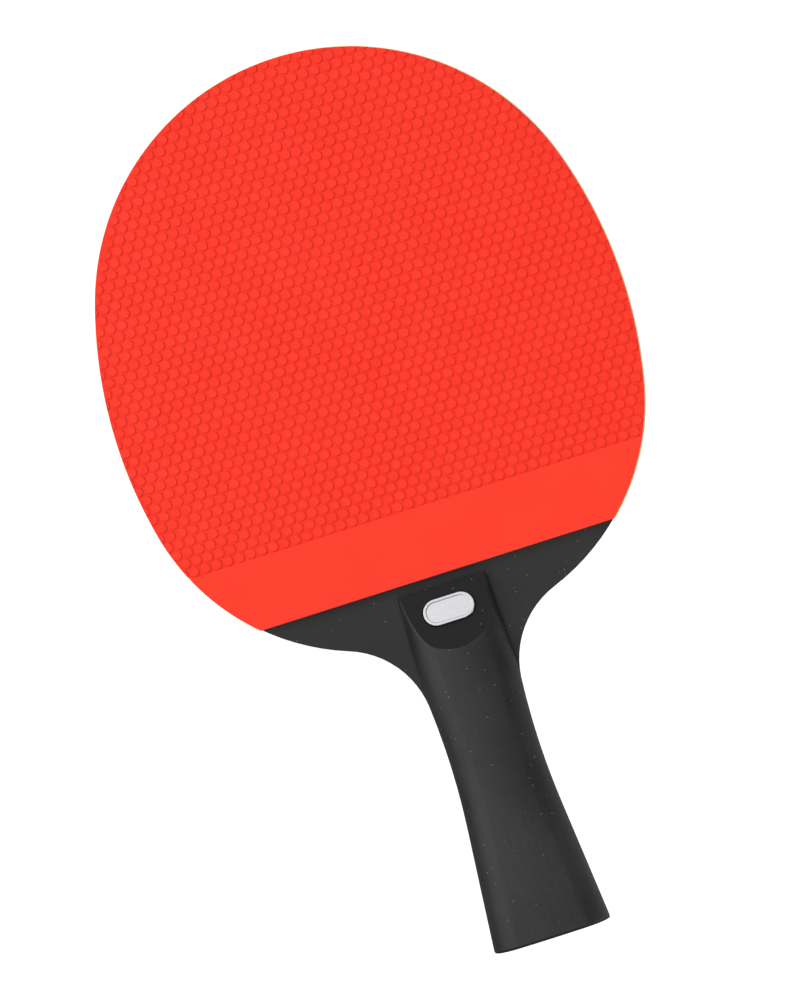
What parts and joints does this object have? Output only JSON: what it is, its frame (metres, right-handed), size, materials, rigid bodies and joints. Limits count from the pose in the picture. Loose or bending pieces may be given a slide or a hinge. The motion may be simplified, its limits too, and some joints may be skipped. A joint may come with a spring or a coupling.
{
  "type": "table tennis paddle",
  "caption": "Table tennis paddle with a round-headed plywood blade, a flared two-scale handle with a thumb slope, and pips-out sponge rubber on both faces.",
  "frame": {"origin": "centre of the butt end face, on the middle plane of the blade", "axes": "+Y up the handle to the tip of the blade, +Z out of the forehand (red) face, +X to the right seen from the forehand"},
  "size_m": [0.15, 0.2592, 0.0232],
  "materials": {
    "black_lacquered_wood": "satin black lacquer over the grain",
    "red_rubber": "satin moulded rubber",
    "black_rubber": "satin moulded rubber",
    "cream_sponge": "matt fine-celled sponge",
    "rubber_cement": "dried contact cement",
    "wood_glue": "dried wood glue",
    "polished_metal": "polished rim, fine-brushed field",
    "adhesive_tape": "double-sided adhesive film"
  },
  "bodies": {
    "root": {"core_ply": "black_lacquered_wood", "forehand_inner_ply": "black_lacquered_wood", "forehand_face_ply": "black_lacquered_wood", "forehand_blade_glue": "rubber_cement", "forehand_sponge": "cream_sponge", "forehand_sponge_glue": "rubber_cement", "forehand_topsheet": "red_rubber", "forehand_scale_glue": "wood_glue", "forehand_handle_scale": "black_lacquered_wood", "backhand_inner_ply": "black_lacquered_wood", "backhand_face_ply": "black_lacquered_wood", "backhand_blade_glue": "rubber_cement", "backhand_sponge": "cream_sponge", "backhand_sponge_glue": "rubber_cement", "backhand_topsheet": "black_rubber", "backhand_scale_glue": "wood_glue", "backhand_handle_scale": "black_lacquered_wood", "badge_plate": "polished_metal", "badge_adhesive": "adhesive_tape"}
  },
  "joints": []
}
